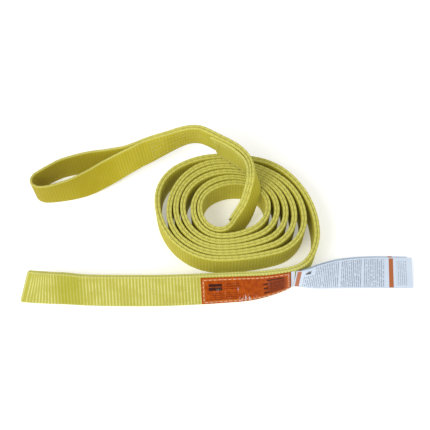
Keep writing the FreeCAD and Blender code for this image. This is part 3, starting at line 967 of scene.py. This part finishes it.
def label_pucker(run, level, side):
    """The label's cloth, drawn up a little by its sewing."""
    return 0.16 * math.sin(run / 5.3 + level / 9) * math.sin(level / 6.1), 0.0


def film_wrinkle(run, level, side):
    """Shallow waves over the film and two creases across it."""
    u = run - LABEL_START
    push = 0.22 * math.sin(u / 7.0 + 1.3 * math.sin(level / 11)) * math.sin(level / 15 + u / 31)
    crease = 0.5 * math.exp(-((u - 76 - 3 * math.sin(level / 9)) / 2.6) ** 2)
    crease += 0.35 * math.exp(-((u - 60 - level / 7) / 2.0) ** 2)
    return -(push + crease), 0.0


def on_film(s):
    """The outside of the film."""
    return on_main(s, FILM_SIDE - 0.15)


def card(name, places, body, material, slot, node, flat=None, rests_on=(), **options):
    """A thin sheet or tab with no ribs, on one body."""
    obj = ribbon(name, places, rib=0.0, **options)
    obj.data.materials.append(material)
    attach(obj, body)
    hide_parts(node)


card("label", [on_main(s, LABEL_SIDE) for s in spread(LABEL_START, LABEL_END, 1.5)], "label_strap",
     label_material(), "label_cloth", "label_cloth", flat=(0.046, LABEL_LENGTH * MM),
     rests_on=["label_strap_outer"], low=LABEL_LOW, high=LABEL_HIGH, half=0.4, round_to=0.5,
     shape=label_pucker)
card("label_film", [on_main(s, FILM_SIDE) for s in spread(LABEL_START + 1.2, LABEL_END - 1.2, 1.0)],
     "label_strap", film_material(), "clear_film", "label_clear_film",
     flat=(0.044, (LABEL_LENGTH - 2.4) * MM), rests_on=["label"], low=LABEL_LOW + 1.0,
     high=LABEL_HIGH - 1.0, half=0.1, round_to=0.2, shape=film_wrinkle)
bars = []
seam_runs = (LABEL_START + LABEL_SEAM, LABEL_END - LABEL_SEAM)
for level in (LABEL_LOW + LABEL_SEAM, LABEL_HIGH - LABEL_SEAM):
    bars += row(on_film, *seam_runs, level, -1, 7.0, 5.0)
for s in seam_runs:
    bars += column(on_film, s, LABEL_LOW + 4.5, LABEL_HIGH - 4.5, -1, 7.0, 5.0)
thread_bars("label_sewing", "label_strap", bars, label_thread, ["label_stitching"], 0.45)

TAB_START = LABEL_END + 1.0
TAB_END = LABEL_END + 5.0
tab_foot, _, _, tab_face = main.frame(TAB_END, PAIR)
seam = tab_foot + tab_face * LABEL_SIDE
seam_station = (seam[0] + ORIGIN[0], seam[1] + ORIGIN[1], LEAF_HEADING, 1.5, main.ease(TAB_END, 4))
front_route = Route([seam_station] + FRONT_LEAF)
back_route = Route([seam_station] + BACK_LEAF)


def on_tab(s):
    """The outside of the tag's tab."""
    return on_main(s, TAB_SIDE - 0.5)


def leaf_place(route, s, side):
    """A place on a leaf's route, as on_main gives for the strap."""
    foot, travel, width, face = route.frame(s, LEAF_T)
    return [s, foot + face * side, travel, width, face, NO_LEAD]


LEAF = front_route.length
printed = {
    "bands": [(1.5, 7.5), (0.800 * LEAF, 0.838 * LEAF)],
    "blocks": [
        (0.070 * LEAF, 0.160 * LEAF, 2.5, 29, 1.0, 0.75),
        (0.165 * LEAF, 0.370 * LEAF, 2.0, 44, 2.0, 0.75),
        (0.385 * LEAF, 0.565 * LEAF, 2.0, 44, 3.0, 0.8),
        (0.580 * LEAF, 0.765 * LEAF, 2.0, 44, 4.0, 0.75),
        (0.865 * LEAF, 0.955 * LEAF, 4.0, 41, 5.0, 0.5),
    ],
    "edge": 44.6,
    "marks": [(0.078 * LEAF, 0.122 * LEAF, 33, 40)],
}
front_look = leaf_material("tag_front", printed)
back_look = leaf_material("tag_back", {**printed, "marks": [], "edge": LEAF_WIDTH})
tab_look = leaf_material("tag_tab", {"bands": [], "blocks": [], "marks": []})
card("tag_tab", [on_main(s, TAB_SIDE) for s in spread(TAB_START, TAB_END + 1.0, 1.0)],
     "label_strap", tab_look, "tag_leaf", "tag_sewn_tab",
     low=LABEL_LOW, high=LABEL_HIGH, half=0.45, round_to=0.5)
bars = column(on_tab, TAB_START + 2.0, LABEL_LOW + 2, LABEL_HIGH - 2, -1, 6.0, 4.0)
thread_bars("tag_sewing", "label_strap", bars, label_thread, ["tag_stitching"], 0.4)

for name, route, side, look, body, carrier in (
    ("tag_front", front_route, -0.5, front_look, "tag_front", "tag_back"),
    ("tag_back", back_route, 0.4, back_look, "tag_back", "label_strap"),
):
    places = [leaf_place(route, s, side) for s in spread(LEAF_ROOT, route.length, 2.0)]
    card(name + "_sheet", places, body, look, "tag_leaf", name + "_leaf",
         flat=(LEAF_WIDTH * MM, (route.length - LEAF_ROOT) * MM), rests_on=["floor"],
         low=0.0, high=LEAF_WIDTH, half=0.25, round_to=0.3)
    places = [leaf_place(route, s, side) for s in spread(0.0, LEAF_ROOT, 1.0)]
    root = ribbon(name + "_root", places, low=0.0, high=LEAF_WIDTH, half=0.25, rib=0.0, round_to=0.3,
                  caps=(True, False))
    root.data.materials.append(look)
    bend_between(root, places[0], places[-1])


# ---- loose thread ends --------------------------------------------------------------------
def tuft(name, body, place, level, count, reach, material, radius):
    """A few short loose threads standing out of a face."""
    verts = []
    faces = []
    around = 5
    for _ in range(count):
        point = place[1] + place[3] * (level + random.uniform(-1.2, 1.2))
        point = point + place[2] * random.uniform(-1.5, 1.5)
        aim = place[4] * random.uniform(0.3, 1.0) + place[2] * random.uniform(-1, 1) \
            + place[3] * random.uniform(-0.6, 0.9)
        aim = aim / np.linalg.norm(aim)
        beside = np.cross(aim, place[3] + 0.1 * place[2])
        beside = beside / np.linalg.norm(beside)
        other = np.cross(aim, beside)
        curl = random.uniform(-0.5, 0.5)
        length = reach * random.uniform(0.6, 1.0)
        base = len(verts)
        steps = 7
        for i in range(steps):
            share = i / (steps - 1)
            middle = point + aim * (length * share) + beside * (curl * length * share * share)
            thick = radius * (1 - 0.5 * share)
            verts += ring(middle, beside * thick, other * thick, around)
        faces += tube_faces(base, steps, around)
        faces.append(tuple(base + (steps - 1) * around + k for k in range(around)))
    obj = mesh_object(name, verts, faces)
    obj.data.materials.append(material)
    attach(obj, body)


dark_thread = thread_material("dark_thread", (0.20, 0.19, 0.03), (0.10, 0.10, 0.02))
red_thread = thread_material("red_thread", (0.55, 0.20, 0.06), (0.40, 0.12, 0.04))
tuft("splice_tuft", "coil", overlap_place(OVERLAP_START - 0.5, skin - 3.5), 50.4, 14, 3.0,
     dark_thread, 0.34)
tuft("splice_thread_end", "coil", overlap_place(OVERLAP_END - 2, skin), 36.0, 3, 4.0, red_thread, 0.22)


# ---- floor, light and camera -----------------------------------------------------------------
def floor():
    """A plain white ground, lifted a little by its own glow so that it stays white."""
    n = Nodes("floor", Specular_IOR_Level=0.2, Emission_Strength=0.3)
    n.shader.inputs["Emission Color"].default_value = (1, 1, 1, 1)
    grain = n.noise(3, 4.0)
    n.finish(n.mix(grain, (0.93, 0.93, 0.93), (0.95, 0.95, 0.95)), 0.9, n.bump(grain, 0.0002, 0.1))
    size = 6.0
    obj = mesh_object("floor", [(-size, -size, 0), (size, -size, 0), (size, size, 0), (-size, size, 0)],
                      [(0, 1, 2, 3)], smooth_shade=False)
    obj.location.z = -0.0003
    obj.data.materials.append(n.material)


def area_light(name, place, size, power):
    """A square light aimed at the origin."""
    light = bpy.data.lights.new(name, "AREA")
    light.size = size
    light.energy = power
    obj = bpy.data.objects.new(name, light)
    obj.location = place
    obj.rotation_euler = (-Vector(place)).to_track_quat("-Z", "Y").to_euler()
    bpy.context.scene.collection.objects.link(obj)


floor()
world = bpy.data.worlds.new("studio")
world.use_nodes = True
world.node_tree.nodes["Background"].inputs["Color"].default_value = (1, 1, 1, 1)
world.node_tree.nodes["Background"].inputs["Strength"].default_value = 0.62
bpy.context.scene.world = world
area_light("key", (-1.0, -0.9, 1.5), 1.0, 20)
area_light("fill", (1.2, -0.4, 1.4), 1.4, 4)
bpy.context.scene.view_settings.view_transform = "Standard"

CAMERA_PLACE = (-0.00368, -0.47377, 1.01367)     # looks along +Y, 64 degrees down
CAMERA_TILT = 26
LENS = 59.86
camera = bpy.data.cameras.new("camera")
camera.sensor_width = 36
camera.lens = LENS
camera_object = bpy.data.objects.new("camera", camera)
camera_object.location = CAMERA_PLACE
camera_object.rotation_euler = (math.radians(CAMERA_TILT), 0, 0)
bpy.context.scene.collection.objects.link(camera_object)
bpy.context.scene.camera = camera_object

bpy.context.view_layer.update()
